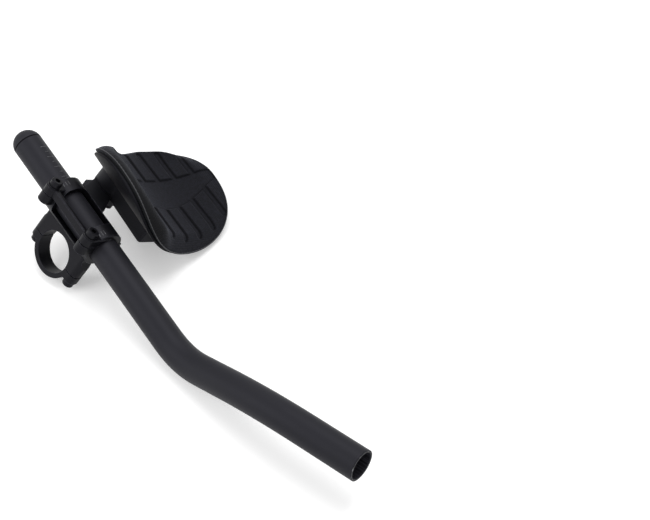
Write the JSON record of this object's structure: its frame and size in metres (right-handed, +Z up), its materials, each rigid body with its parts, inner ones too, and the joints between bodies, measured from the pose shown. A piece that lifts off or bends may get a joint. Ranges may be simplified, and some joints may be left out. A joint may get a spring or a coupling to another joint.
{
  "type": "aero handlebar extension",
  "caption": "Left-hand clip-on aero handlebar extension: split handlebar clamp, bent alloy tube held by a windowed cap, and a padded trough armrest on an outboard bracket.",
  "frame": {"origin": "centre of the handlebar bore of the clamp", "axes": "+X inboard along the handlebar, +Y forward along the straight run of the extension tube, +Z up"},
  "size_m": [0.1379, 0.3666, 0.1405],
  "materials": {
    "anodised_tube": "satin black anodised",
    "forged_clamp": "fine-blasted black anodised",
    "black_steel": "black oxide, satin",
    "plug_plastic": "matt",
    "cup_plastic": "matt moulded",
    "hook_loop": "woven",
    "pad_fabric": "matt knitted cover on foam"
  },
  "bodies": {
    "root": {"extension_tube": "anodised_tube", "tube_end_plug": "plug_plastic", "clamp_body": "forged_clamp", "bar_clamp_cap": "forged_clamp", "bar_clamp_bolts": "black_steel", "bar_clamp_washers": "black_steel", "extension_clamp_cap": "forged_clamp", "extension_clamp_bolts": "black_steel", "extension_clamp_washers": "black_steel", "armrest_bracket": "forged_clamp", "bracket_bolts": "black_steel", "bracket_washers": "black_steel", "armrest_rail": "cup_plastic", "rail_bolts": "black_steel", "rail_washers": "black_steel", "armrest_cup": "cup_plastic", "cup_bolts": "black_steel", "pad_hook_strips": "hook_loop", "pad_loop_strips": "hook_loop", "armrest_pad": "pad_fabric"}
  },
  "joints": []
}
